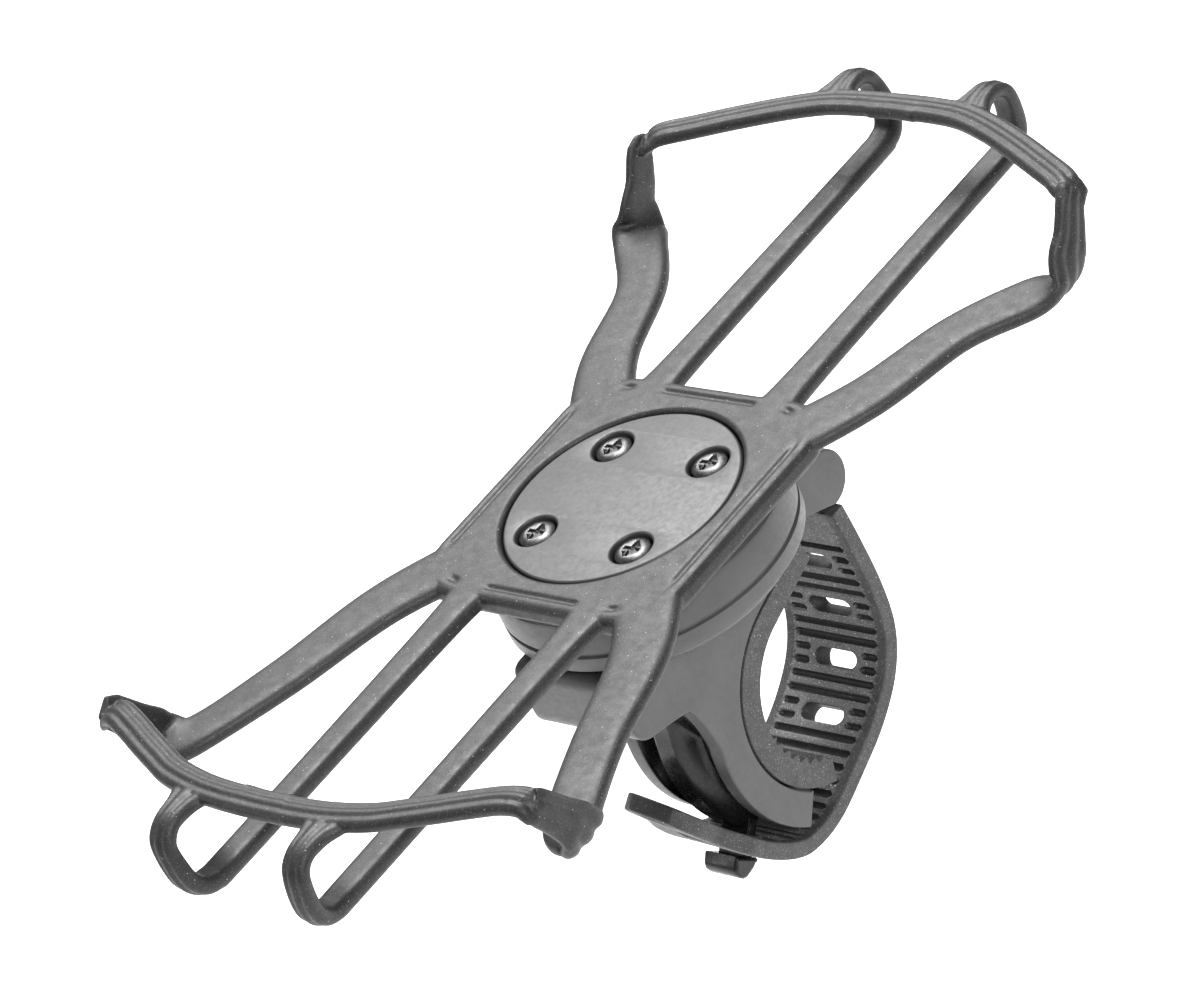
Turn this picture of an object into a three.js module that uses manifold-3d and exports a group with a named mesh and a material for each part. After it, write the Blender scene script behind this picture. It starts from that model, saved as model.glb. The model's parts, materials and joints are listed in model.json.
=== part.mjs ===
// Phone mount for a bicycle handlebar: a strap-on saddle, a turntable with click
// stops, and an elastic cradle whose loops hold the phone by its ends.
//
// Millimetres. The origin is on the handlebar's axis, at mid-width. +X runs along
// the handlebar to the rider's right, +Y along the phone towards its top, and +Z
// out of the phone's screen.
import * as THREE from 'three';
import { mergeVertices } from 'three/addons/utils/BufferGeometryUtils.js';
import Module from 'manifold-3d';

const wasm = await Module();
wasm.setup();

// ---------------------------------------------------------------- dimensions
const GAP = 0.3; // between touching pieces

// The phone that the cradle is stretched over.
const PHONE_HALF_WIDTH = 35.75;
const PHONE_HALF_LENGTH = 73.35;
const PHONE_BACK = 36.8;
const PHONE_FRONT = 44.2;

// Saddle round the handlebar. Angles are measured from +Y towards +Z.
const BAR_RADIUS = 11.5;
const LINER_RADIUS = 14.9;
const SADDLE_INNER = LINER_RADIUS + GAP;
const SADDLE_SHELL = 17.9;
const SADDLE_FLANGE = 19.95;
const SADDLE_SPINE = 21.2;
const SADDLE_END = 232;
const SADDLE_TOP = 107; // where the inner face leaves its arc, on its way forward
const SADDLE_BACK = 168; // where the outer face leaves its arc, below the wing
const HALF_WIDTH = 8.7;
const FLANGE_WIDTH = 2.1;
const SPINE_HALF_WIDTH = 2.8;
const DECK = 24.3;
const WING_END = -30.2;

// Swivel, on the phone's centre.
const SWIVEL_Y = -9.4;
const TURRET_RADIUS = 18.5;
const TURRET_TOP = 26.6;
const TABLE_BOTTOM = TURRET_TOP + GAP;
const TABLE_TOP = 33.1;
const TABLE_RADIUS = 20.3;
const SKIRT_BOTTOM = 25.2;
const SLIP_INNER = 14;
const SLIP_OUTER = 17;
const SLIP_SEAT = 25.5;
const DETENT_CIRCLE = 11;
const DETENT_COUNT = 12;
const BALL_RADIUS = 1.4;
const BALL_CENTRE = 25.8;
const DETENT_BORE = 1.65;
const DETENT_FLOOR = 20.5;
const COUNTERBORE_FLOOR = 29.3;
const INSERT_BOTTOM = 18.2;
const INSERT_TOP = 26.2;

// Strap and the pin that it hangs on.
const PIN_Y = 13.9;
const PIN_Z = 20.5;
const PIN_RADIUS = 1.25;
const EAR_RADIUS = 4;
const EAR_INNER = 5.2;
const EYE_RADIUS = 3;
const EYE_HALF_WIDTH = EAR_INNER - GAP;
const STRAP_HALF_THICKNESS = 1.18;
const STRAP_TOP = 15.8;
const SLOT_PITCH = 7.85;
const SLOT_LENGTH = 7.2;
const SLOT_WIDTH = 2.4;
const STRAP_LINE = [
  [13.6, STRAP_TOP], [13.95, 9.5], [14, 2], [13, -4.2], [9.9, -9.1], [4.7, -12.9],
  [-1.3, -15.5], [-7.2, -17.6], [-11.9, -17.9], [-15.6, -16.6], [-20.4, -12.1],
  [-25, -5.4], [-28.2, 0],
];
const TAIL_TAPER = 12; // the tail narrows over this length,
const TAIL_RADIUS = 6.5; // to a round end

// Hook: where it meets the strap's outer face, and the way the strap runs there.
const HOOK_POINT = new THREE.Vector2(-18.5, -16.1);
const HOOK_ANGLE = 136;
const HOOK_HALF_WIDTH = 2.9;

// Cradle.
const PAD_BOTTOM = 33.4;
const PAD_TOP = 36.6;
const PAD_HALF = 21;
const PAD_CORNER = 8;
const CLAMP_RADIUS = 16;
const CLAMP_BOTTOM = 34.6;
const CLAMP_TOP = 36.3;
const CLAMP_SCREW_CIRCLE = 11.6;
const BAND_WIDTH = 4.2;
const BAND_THICKNESS = 2.3;
const REAR_BOTTOM = 33.7;
const REAR_TOP = 36.4;
const TIE_X = 11.5;
const TIE_WIDTH = 4.4;
const CROWNS = { '1': [66.8, 11.6], '-1': [67.6, 9.8] }; // loop's reach and sag at each end
const SAG_AT = 35;
const WRAP_SLANT = 0.55;
const CLEAR = 0.2; // between the cradle and the phone's space

// ----------------------------------------------------------------- materials
function finish(color, roughness, metalness = 0) {
  return new THREE.MeshStandardMaterial({ color, roughness, metalness });
}
const NYLON = finish(0x3b3b3c, 0.45);
const SILICONE = finish(0x3a3a3a, 0.75);
const RUBBER = finish(0x424242, 0.8);
const STEEL = finish(0x9a9da0, 0.3, 1);
const ACETAL = finish(0xd8d6cf, 0.35);
const BRASS = finish(0xb08d4a, 0.35, 1);

// ------------------------------------------------------------------- helpers
const ACROSS = new THREE.Matrix4().makeBasis(
  new THREE.Vector3(0, 1, 0), new THREE.Vector3(0, 0, 1), new THREE.Vector3(1, 0, 0));

function radians(degrees) {
  return THREE.MathUtils.degToRad(degrees);
}

// The point at a radius and an angle from the handlebar's axis.
function polar(radius, degrees) {
  return new THREE.Vector2(radius, 0).rotateAround(new THREE.Vector2(), radians(degrees));
}

function shapeOf(points) {
  return new THREE.Shape(points.map((p) => (Array.isArray(p) ? new THREE.Vector2(...p) : p)));
}

function roundedRect(halfX, halfY, radius) {
  const s = new THREE.Shape();
  s.absarc(halfX - radius, halfY - radius, radius, 0, Math.PI / 2);
  s.absarc(radius - halfX, halfY - radius, radius, Math.PI / 2, Math.PI);
  s.absarc(radius - halfX, radius - halfY, radius, Math.PI, 1.5 * Math.PI);
  s.absarc(halfX - radius, radius - halfY, radius, 1.5 * Math.PI, 2 * Math.PI);
  return s;
}

function extrude(shape, depth, curveSegments) {
  return new THREE.ExtrudeGeometry(shape, { depth, curveSegments, bevelEnabled: false });
}

// A side profile in (y, z), extruded along the handlebar.
function across(shape, x0, x1, curveSegments = 8) {
  return extrude(shape, x1 - x0, curveSegments).applyMatrix4(ACROSS).translate(x0, 0, 0);
}

// An outline in (x, y), extruded upwards.
function upward(shape, z0, z1, curveSegments = 6) {
  return extrude(shape, z1 - z0, curveSegments).translate(0, 0, z0);
}

// A profile of [radius, z] turned about the swivel's axis, or one parallel to it.
function turned(profile, segments = 32, x = 0, y = SWIVEL_Y) {
  const points = profile.map((p) => new THREE.Vector2(...p));
  return new THREE.LatheGeometry(points, segments).rotateX(Math.PI / 2).translate(x, y, 0);
}

function disc(radius, z0, z1, segments = 32, x = 0, y = SWIVEL_Y) {
  return turned([[0, z0], [radius, z0], [radius, z1], [0, z1]], segments, x, y);
}

function tube(inner, outer, z0, z1, segments = 32) {
  return turned([[inner, z0], [outer, z0], [outer, z1], [inner, z1], [inner, z0]], segments);
}

// A rod along the handlebar's direction.
function crossRod(radius, y, z, halfLength, segments = 20) {
  const rod = new THREE.CylinderGeometry(radius, radius, 2 * halfLength, segments);
  return rod.rotateZ(Math.PI / 2).translate(0, y, z);
}

function solid(geometry) {
  const bare = geometry.clone();
  bare.deleteAttribute('normal');
  bare.deleteAttribute('uv');
  const merged = mergeVertices(bare, 1e-4);
  const kept = [];
  for (let i = 0; i < merged.index.count; i += 3) {
    const [a, b, c] = [0, 1, 2].map((k) => merged.index.getX(i + k));
    if (a !== b && b !== c && c !== a) kept.push(a, b, c);
  }
  return new wasm.Manifold(new wasm.Mesh({
    numProp: 3,
    vertProperties: new Float32Array(merged.attributes.position.array),
    triVerts: new Uint32Array(kept),
  }));
}

function joined(geometries) {
  return geometries.map(solid).reduce((a, b) => a.add(b));
}

function cut(body, geometries) {
  return geometries.map(solid).reduce((a, b) => a.subtract(b), body);
}

function geometryOf(body) {
  const mesh = body.getMesh();
  const geometry = new THREE.BufferGeometry();
  geometry.setAttribute('position', new THREE.BufferAttribute(mesh.vertProperties, 3));
  geometry.setIndex(new THREE.BufferAttribute(mesh.triVerts, 1));
  return geometry;
}

function place(name, geometry, material, parent) {
  const shape = geometry instanceof THREE.BufferGeometry ? geometry : geometryOf(geometry);
  const mesh = new THREE.Mesh(shape, material);
  mesh.name = name;
  parent.add(mesh);
  return mesh;
}

// ---------------------------------------------------------------- the saddle
// Side profile of the saddle: a C over the handlebar, the deck on top of it, the
// wing on the rider's side and the ears of the strap's pin on the far side.
function saddleProfile(outer) {
  const s = new THREE.Shape();
  s.absarc(0, 0, outer, radians(SADDLE_END), radians(SADDLE_BACK), true);
  s.quadraticCurveTo(-19.6, 9.2, -21.2, 12.3);
  s.lineTo(-28, 14.1);
  s.quadraticCurveTo(WING_END, 14.8, WING_END, 17);
  s.lineTo(WING_END, 22.6);
  s.lineTo(WING_END + 1.7, DECK);
  s.lineTo(PIN_Y, PIN_Z + EAR_RADIUS);
  s.absarc(PIN_Y, PIN_Z, EAR_RADIUS, Math.PI / 2, -Math.PI / 2, true);
  s.lineTo(9, 18.65);
  s.absarc(0, 0, SADDLE_INNER, radians(SADDLE_TOP), radians(SADDLE_END), false);
  return s;
}

// The spine down the middle of the outer face, between the two flanges.
function spineProfile() {
  const s = new THREE.Shape();
  s.absarc(0, 0, SADDLE_SPINE, radians(223), radians(165), true);
  s.lineTo(-24, 13.5);
  s.lineTo(-16, 13.5);
  s.absarc(0, 0, SADDLE_INNER + 1, radians(165), radians(223), false);
  return s;
}

// Maps (along the strap, outwards) at the hook to (y, z).
function atHook(points) {
  const along = polar(1, HOOK_ANGLE);
  const outward = polar(1, HOOK_ANGLE + 90);
  return shapeOf(points.map(([t, n]) => HOOK_POINT.clone()
    .addScaledVector(along, t)
    .addScaledVector(outward, n)));
}

function hookParts() {
  const stem = atHook([[-0.9, -5], [0.7, -5], [0.7, 0.8], [-0.9, 0.8]]);
  const head = atHook([[-1.3, 0.35], [-1, 1.4], [0.6, 2.7], [1.9, 2.4], [2.6, 1.4], [2.5, 0.35]]);
  return [stem, head].map((s) => across(s, -HOOK_HALF_WIDTH, HOOK_HALF_WIDTH));
}

function detentPlaces() {
  return [-1, 1].map((side) => [side * DETENT_CIRCLE, SWIVEL_Y]);
}

function saddle() {
  const shell = saddleProfile(SADDLE_SHELL);
  const flange = saddleProfile(SADDLE_FLANGE);
  const body = joined([
    across(shell, -HALF_WIDTH + 1, HALF_WIDTH - 1),
    across(flange, -HALF_WIDTH, -HALF_WIDTH + FLANGE_WIDTH),
    across(flange, HALF_WIDTH - FLANGE_WIDTH, HALF_WIDTH),
    across(spineProfile(), -SPINE_HALF_WIDTH, SPINE_HALF_WIDTH),
    turned([[0, 18.5], [11.5, 18.5], [TURRET_RADIUS, 23.6], [TURRET_RADIUS, TURRET_TOP - 0.4],
      [TURRET_RADIUS - 0.4, TURRET_TOP], [0, TURRET_TOP]], 40),
    ...hookParts(),
  ]);
  const eyeRoom = [[10.4, 13.5], [19, 13.5], [19, DECK + 1], [PIN_Y, DECK + 1],
    [PIN_Y, PIN_Z], [10.4, PIN_Z]];
  return cut(body, [
    crossRod(EYE_RADIUS + 0.5, PIN_Y, PIN_Z, EAR_INNER, 24),
    across(shapeOf(eyeRoom), -EAR_INNER, EAR_INNER),
    crossRod(PIN_RADIUS + GAP, PIN_Y, PIN_Z, HALF_WIDTH + 1),
    disc(3.8, INSERT_BOTTOM - GAP, TURRET_TOP + 1, 24),
    tube(SLIP_INNER - GAP, SLIP_OUTER + GAP, SLIP_SEAT, TURRET_TOP + 1),
    ...detentPlaces().map(([x, y]) => disc(DETENT_BORE, DETENT_FLOOR, TURRET_TOP + 1, 20, x, y)),
  ]);
}

// ----------------------------------------------------------------- the liner
// Rubber lining with grip teeth at its lower end. Its upper end runs forward
// over the handlebar, under the deck.
function liner() {
  const s = new THREE.Shape();
  const rise = Math.tan(radians(SADDLE_TOP - 90));
  const outerTop = polar(LINER_RADIUS, SADDLE_TOP);
  const innerTop = polar(BAR_RADIUS, SADDLE_TOP);
  s.absarc(0, 0, LINER_RADIUS, radians(249), radians(SADDLE_TOP), true);
  s.lineTo(5.6, outerTop.y + (5.6 - outerTop.x) * rise);
  s.lineTo(6.6, innerTop.y + (6.6 - innerTop.x) * rise);
  s.absarc(0, 0, BAR_RADIUS, radians(SADDLE_TOP), radians(186), false);
  for (let angle = 186; angle < 240; angle += 9) {
    s.lineTo(...polar(BAR_RADIUS - 0.55, angle + 4).toArray());
    s.lineTo(...polar(BAR_RADIUS, angle + 9).toArray());
  }
  s.lineTo(...polar(13, 250).toArray());
  return across(s, -HALF_WIDTH, HALF_WIDTH, 14);
}

// ----------------------------------------------------------------- the strap
const strapCurve = new THREE.SplineCurve(STRAP_LINE.map((p) => new THREE.Vector2(...p)));

// Where the strap's middle line passes nearest to a point, as a length along it.
function lengthNear(point) {
  const steps = 400;
  const total = strapCurve.getLength();
  let best = 0;
  for (let i = 1; i <= steps; i += 1) {
    const here = strapCurve.getPointAt(i / steps).distanceTo(point);
    if (here < strapCurve.getPointAt(best / steps).distanceTo(point)) best = i;
  }
  return (best / steps) * total;
}

function strapOutline() {
  const steps = 40;
  const sides = [[], []];
  for (let i = 0; i <= steps; i += 1) {
    const middle = strapCurve.getPointAt(i / steps);
    const along = strapCurve.getTangentAt(i / steps);
    const outward = new THREE.Vector2(-along.y, along.x).multiplyScalar(STRAP_HALF_THICKNESS);
    sides[0].push(middle.clone().add(outward));
    sides[1].unshift(middle.clone().sub(outward));
  }
  return shapeOf([...sides[0], ...sides[1]]);
}

// One slot: a stadium across the strap, cut through it at a length along it.
function slotAt(length) {
  const half = (SLOT_LENGTH - SLOT_WIDTH) / 2;
  const s = new THREE.Shape();
  s.absarc(half, 0, SLOT_WIDTH / 2, -Math.PI / 2, Math.PI / 2);
  s.absarc(-half, 0, SLOT_WIDTH / 2, Math.PI / 2, 1.5 * Math.PI);
  const frame = strapFrame(length / strapCurve.getLength());
  return extrude(s, 6, 4).translate(0, 0, -3).applyMatrix4(frame);
}

// A frame on the strap's middle line: across, along, and out of its outer face.
function strapFrame(u) {
  const middle = strapCurve.getPointAt(u);
  const along = strapCurve.getTangentAt(u);
  return new THREE.Matrix4().makeBasis(
    new THREE.Vector3(1, 0, 0),
    new THREE.Vector3(0, along.x, along.y),
    new THREE.Vector3(0, -along.y, along.x)).setPosition(0, middle.x, middle.y);
}

// What is cut off each side of the tail to narrow and round it.
function tailCorners() {
  return [-1, 1].map((side) => {
    const s = new THREE.Shape();
    s.moveTo(0, 1);
    s.lineTo(side * (HALF_WIDTH + 1), 1);
    s.lineTo(side * (HALF_WIDTH + 1), -TAIL_TAPER);
    s.lineTo(side * HALF_WIDTH, -TAIL_TAPER);
    s.bezierCurveTo(side * HALF_WIDTH, -TAIL_RADIUS - 3, side * TAIL_RADIUS,
      -TAIL_RADIUS - 2, side * TAIL_RADIUS, -TAIL_RADIUS);
    s.absarc(0, -TAIL_RADIUS, TAIL_RADIUS, side > 0 ? 0 : Math.PI, Math.PI / 2, side < 0);
    return extrude(s, 10, 10).translate(0, 0, -5).applyMatrix4(strapFrame(1));
  });
}

function strap() {
  const neck = [[PIN_Y - 1.3, STRAP_TOP - 0.6], [PIN_Y + 1.3, STRAP_TOP - 0.6],
    [PIN_Y + 1.3, PIN_Z - 1], [PIN_Y - 1.3, PIN_Z - 1]];
  const body = joined([
    across(strapOutline(), -HALF_WIDTH, HALF_WIDTH),
    across(shapeOf(neck), -EYE_HALF_WIDTH, EYE_HALF_WIDTH),
    crossRod(EYE_RADIUS, PIN_Y, PIN_Z, EYE_HALF_WIDTH, 24),
  ]);
  const hooked = lengthNear(HOOK_POINT);
  const total = strapCurve.getLength();
  const lengths = [];
  for (let length = hooked % SLOT_PITCH; length < total - 2; length += SLOT_PITCH) {
    if (length > 5) lengths.push(length);
  }
  return cut(body, [
    crossRod(PIN_RADIUS + GAP, PIN_Y, PIN_Z, HALF_WIDTH),
    ...lengths.map(slotAt),
    ...tailCorners(),
  ]);
}

// ------------------------------------------------------------- swivel pieces
function insert() {
  return tube(2.75, 3.5, INSERT_BOTTOM, INSERT_TOP, 24);
}

function pivotScrew() {
  const body = joined([
    disc(2.4, 20, 31.8, 20),
    turned([[0, 31.6], [4.6, 31.6], [4.6, 32.6], [4.1, TABLE_TOP], [0, TABLE_TOP]], 24),
  ]);
  return cut(body, [disc(1.75, 31.9, TABLE_TOP + 1, 6)]);
}

function coilSpring() {
  class Helix extends THREE.Curve {
    getPoint(t, target = new THREE.Vector3()) {
      const angle = 4.5 * 2 * Math.PI * t;
      return target.set(1.05 * Math.cos(angle), 1.05 * Math.sin(angle), 2.7 * t);
    }
  }
  const wire = new THREE.Shape();
  wire.absarc(0, 0, 0.26, 0, 2 * Math.PI);
  const settings = { steps: 45, curveSegments: 3, bevelEnabled: false, extrudePath: new Helix() };
  return new THREE.ExtrudeGeometry(wire, settings);
}

function turntable() {
  const skirtInner = TURRET_RADIUS + 0.4;
  const body = solid(turned([
    [0, TABLE_BOTTOM], [skirtInner, TABLE_BOTTOM], [skirtInner, SKIRT_BOTTOM],
    [TABLE_RADIUS, SKIRT_BOTTOM], [TABLE_RADIUS, TABLE_TOP - 0.8],
    [TABLE_RADIUS - 0.8, TABLE_TOP], [0, TABLE_TOP]], 48));
  const dimples = [];
  for (let n = 0; n < DETENT_COUNT; n += 1) {
    const at = polar(DETENT_CIRCLE, (360 / DETENT_COUNT) * n);
    const dimple = new THREE.SphereGeometry(1.75, 12, 8).rotateX(Math.PI / 2);
    dimples.push(dimple.translate(at.x, SWIVEL_Y + at.y, BALL_CENTRE));
  }
  return cut(body, [
    disc(2.7, TABLE_BOTTOM - 1, TABLE_TOP, 20),
    disc(6.2, COUNTERBORE_FLOOR, TABLE_TOP + 1, 28),
    ...screwPlaces().map(([x, y]) => disc(1.5, 29.4, TABLE_TOP + 1, 12, x, y)),
    ...dimples,
  ]);
}

// --------------------------------------------------------------- the cradle
function screwPlaces() {
  return [45, 135, 225, 315].map((angle) => {
    const at = polar(CLAMP_SCREW_CIRCLE, angle);
    return [at.x, SWIVEL_Y + at.y];
  });
}

function clampPlate() {
  const body = solid(turned([
    [0, CLAMP_BOTTOM], [CLAMP_RADIUS, CLAMP_BOTTOM], [CLAMP_RADIUS, CLAMP_TOP - 0.5],
    [CLAMP_RADIUS - 0.5, CLAMP_TOP], [0, CLAMP_TOP]], 40));
  return cut(body, screwPlaces().flatMap(([x, y]) => [
    disc(1.5, CLAMP_BOTTOM - 1, CLAMP_TOP, 12, x, y),
    disc(2.9, CLAMP_BOTTOM + 0.5, CLAMP_TOP + 1, 16, x, y),
  ]));
}

function clampScrew() {
  const bottom = CLAMP_BOTTOM + 0.5 + GAP;
  const body = joined([
    turned([[0, 29.8], [0.7, 29.8], [1.2, 30.6], [1.2, bottom + 0.1], [0, bottom + 0.1]], 12, 0, 0),
    turned([[0, bottom], [2.5, bottom], [2.5, bottom + 0.4], [1.7, CLAMP_TOP - 0.1],
      [0, CLAMP_TOP - 0.1]], 16, 0, 0),
  ]);
  const recess = [0, 1].map((turn) => new THREE.BoxGeometry(2.6, 0.5, 1)
    .rotateZ((turn * Math.PI) / 2)
    .translate(0, 0, CLAMP_TOP));
  return cut(body, recess);
}

const FRONT_LOW = PHONE_FRONT + CLEAR;
const FRONT_HIGH = FRONT_LOW + BAND_THICKNESS;
const SIDE_IN = PHONE_HALF_WIDTH + CLEAR;
const SIDE_OUT = SIDE_IN + BAND_THICKNESS;
const END_IN = PHONE_HALF_LENGTH + CLEAR;
const END_OUT = END_IN + BAND_THICKNESS;

// An outline of [x, distance from the phone's centre], at one end of the phone.
function atEnd(end, points) {
  return shapeOf(points.map(([x, fromCentre]) => [x, SWIVEL_Y + end * fromCentre]));
}

// The front of a loop: an arc over the phone's face, bowed towards its end.
function frontBand(end) {
  const [crown, sag] = CROWNS[end];
  const radius = (SAG_AT ** 2 + sag ** 2) / (2 * sag);
  const half = Math.asin((SIDE_IN - 0.5) / radius);
  const steps = 14;
  const rims = [[], []];
  for (let i = 0; i <= steps; i += 1) {
    const angle = half * ((2 * i) / steps - 1);
    for (const [n, sign] of [1, -1].entries()) {
      const r = radius + (sign * BAND_WIDTH) / 2;
      rims[n].push([r * Math.sin(angle), crown - radius + r * Math.cos(angle)]);
    }
  }
  return upward(atEnd(end, [...rims[0], ...rims[1].reverse()]), FRONT_LOW, FRONT_HIGH);
}

// Where a loop lies along the phone when it has come round to the back.
function rearReach(end) {
  const [crown, sag] = CROWNS[end];
  return crown - sag - WRAP_SLANT * (FRONT_LOW - REAR_TOP) - 1;
}

// The side of a loop: round one long edge of the phone, slanting to the back.
function sideWrap(end, side) {
  const [crown, sag] = CROWNS[end];
  const outline = [
    [30.5, FRONT_LOW], [SIDE_IN, FRONT_LOW], [SIDE_IN, REAR_TOP], [29, REAR_TOP],
    [29, REAR_BOTTOM], [SIDE_OUT - 1.8, REAR_BOTTOM], [SIDE_OUT, REAR_BOTTOM + 1.5],
    [SIDE_OUT, FRONT_HIGH - 1.6], [SIDE_OUT - 1.6, FRONT_HIGH], [32, FRONT_HIGH]];
  const lying = new THREE.Matrix4().makeBasis(
    new THREE.Vector3(side, 0, 0), new THREE.Vector3(0, 0, 1), new THREE.Vector3(0, -side, 0));
  const slant = new THREE.Matrix4().makeShear(0, 0, 0, 0, 0, end * WRAP_SLANT);
  const y = SWIVEL_Y + end * (crown - sag);
  return extrude(shapeOf(outline), BAND_WIDTH, 4)
    .applyMatrix4(lying)
    .translate(0, y + (side * BAND_WIDTH) / 2, -FRONT_LOW)
    .applyMatrix4(slant)
    .translate(0, 0, FRONT_LOW);
}

// A tie: from the front band, round the phone's short end and back to the pad.
function endTie(end, side) {
  const start = CROWNS[end][0] - 2.5;
  const outline = [
    [start, FRONT_LOW], [END_IN, FRONT_LOW], [END_IN, REAR_TOP], [PAD_HALF - 2, REAR_TOP],
    [PAD_HALF - 2, REAR_BOTTOM], [END_OUT - 1.8, REAR_BOTTOM], [END_OUT, REAR_BOTTOM + 1.5],
    [END_OUT, FRONT_HIGH - 1.6], [END_OUT - 1.6, FRONT_HIGH], [start, FRONT_HIGH]];
  const profile = outline.map(([fromCentre, z]) => [SWIVEL_Y + end * fromCentre, z]);
  const x = side * TIE_X;
  return across(shapeOf(profile), x - TIE_WIDTH / 2, x + TIE_WIDTH / 2);
}

// An arm: the diagonal run on the back, from the pad's corner to a loop.
function rearArm(end, side) {
  const reach = rearReach(end);
  const outline = [
    [20.4, 12.5], [31.2, reach - 6], [34.8, reach - 2], [34.8, reach + 2],
    [30.5, reach + 1.8], [11, 20.5]];
  const mirrored = outline.map(([x, fromCentre]) => [side * x, fromCentre]);
  return upward(atEnd(end, mirrored), REAR_BOTTOM, REAR_TOP);
}

function siliconeCradle() {
  const parts = [upward(roundedRect(PAD_HALF, PAD_HALF, PAD_CORNER), PAD_BOTTOM, PAD_TOP)
    .translate(0, SWIVEL_Y, 0)];
  for (const end of [1, -1]) {
    parts.push(frontBand(end));
    for (const side of [1, -1]) {
      parts.push(sideWrap(end, side), endTie(end, side), rearArm(end, side));
    }
  }
  return cut(joined(parts), [
    disc(CLAMP_RADIUS + GAP, CLAMP_BOTTOM - GAP, PAD_TOP + 1, 40),
    ...screwPlaces().map(([x, y]) => disc(1.6, PAD_BOTTOM - 1, PAD_TOP, 12, x, y)),
  ]);
}

// ------------------------------------------------------------- the assembly
const mount = new THREE.Group();
mount.name = 'phone_mount';

const clampGroup = new THREE.Group();
clampGroup.name = 'bar_clamp_group';
mount.add(clampGroup);
place('saddle', saddle(), NYLON, clampGroup);
place('saddle_liner', liner(), RUBBER, clampGroup);
place('strap_pin', crossRod(PIN_RADIUS, PIN_Y, PIN_Z, HALF_WIDTH - 0.2), STEEL, clampGroup);
place('threaded_insert', insert(), BRASS, clampGroup);
detentPlaces().forEach(([x, y], n) => {
  const ball = new THREE.SphereGeometry(BALL_RADIUS, 14, 10).rotateX(Math.PI / 2);
  place(`detent_ball_${n + 1}`, ball, STEEL, clampGroup).position.set(x, y, BALL_CENTRE);
  const spring = place(`detent_spring_${n + 1}`, coilSpring(), STEEL, clampGroup);
  spring.position.set(x, y, DETENT_FLOOR + 0.6);
});
place('strap', strap(), RUBBER, mount);

const swivelGroup = new THREE.Group();
swivelGroup.name = 'swivel_group';
mount.add(swivelGroup);
place('pivot_screw', pivotScrew(), STEEL, swivelGroup);
place('pivot_washer', tube(2.75, 5.8, 29.6, 30.3, 24), STEEL, swivelGroup);
place('disc_spring', turned([[2.8, 30.95], [5.5, 30.55], [5.5, 30.95], [2.8, 31.35],
  [2.8, 30.95]], 24), STEEL, swivelGroup);
place('slip_ring', tube(SLIP_INNER, SLIP_OUTER, SLIP_SEAT + GAP, TURRET_TOP), ACETAL, clampGroup);
place('turntable', turntable(), NYLON, swivelGroup);

const cradleGroup = new THREE.Group();
cradleGroup.name = 'cradle_group';
mount.add(cradleGroup);
place('clamp_plate', clampPlate(), NYLON, cradleGroup);
screwPlaces().forEach(([x, y], n) => {
  place(`clamp_screw_${n + 1}`, clampScrew(), STEEL, cradleGroup).position.set(x, y, 0);
});
place('silicone_cradle', siliconeCradle(), SILICONE, cradleGroup);

export default mount;
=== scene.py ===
"""Looks of a bicycle phone mount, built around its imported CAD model.

Lengths are millimetres in the row frame, turned into metres where a mesh is made.
The handlebar's axis is X, the phone's top is towards +Y, and its screen faces +Z.
"""
import math

import json

import bmesh
import bpy
import numpy as np
from mathutils import Matrix, Vector


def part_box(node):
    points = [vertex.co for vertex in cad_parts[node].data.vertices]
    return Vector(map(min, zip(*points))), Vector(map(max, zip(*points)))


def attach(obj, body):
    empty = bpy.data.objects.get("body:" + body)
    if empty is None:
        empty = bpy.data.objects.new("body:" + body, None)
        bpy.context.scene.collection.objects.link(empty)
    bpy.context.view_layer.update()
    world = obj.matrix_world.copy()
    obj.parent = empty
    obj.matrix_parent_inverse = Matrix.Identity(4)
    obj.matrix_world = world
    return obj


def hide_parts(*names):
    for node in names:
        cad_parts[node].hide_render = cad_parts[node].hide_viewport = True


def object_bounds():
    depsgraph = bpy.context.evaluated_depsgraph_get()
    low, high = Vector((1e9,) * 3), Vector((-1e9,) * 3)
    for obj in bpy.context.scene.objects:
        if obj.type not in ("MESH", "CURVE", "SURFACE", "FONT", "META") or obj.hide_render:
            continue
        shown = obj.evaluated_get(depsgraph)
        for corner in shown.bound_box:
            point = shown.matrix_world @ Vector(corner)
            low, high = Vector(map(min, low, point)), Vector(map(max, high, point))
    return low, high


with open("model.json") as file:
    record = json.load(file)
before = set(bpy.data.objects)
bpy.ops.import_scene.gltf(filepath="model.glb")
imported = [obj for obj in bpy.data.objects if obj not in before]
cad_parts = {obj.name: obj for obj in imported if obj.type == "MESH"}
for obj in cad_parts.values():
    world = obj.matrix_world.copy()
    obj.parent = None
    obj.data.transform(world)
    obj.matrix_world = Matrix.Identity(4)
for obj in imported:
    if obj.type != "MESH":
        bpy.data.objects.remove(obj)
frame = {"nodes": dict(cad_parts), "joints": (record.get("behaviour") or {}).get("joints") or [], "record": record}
cad_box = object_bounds()

MM = 0.001
LATHE_SEGMENTS = 128
MERGED = 1e-4  # vertices nearer to each other than this become one
OPENINGS = {o["name"]: np.array(o["box_m"]) / MM
            for o in frame["record"]["physics"]["openings"]}
JOINTS = {j["name"]: j for j in frame["joints"]}


def node_box(name):
    low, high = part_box(name)
    return np.array(low) / MM, np.array(high) / MM


PHONE_LOW, PHONE_HIGH = OPENINGS["phone_space"]
SWIVEL_Y = JOINTS["cradle_spin"]["pos_m"][1] / MM
PIN_Y, PIN_Z = (v / MM for v in JOINTS["strap_open"]["pos_m"][1:])
HALF_WIDTH = node_box("saddle_liner")[1][0]


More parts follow.
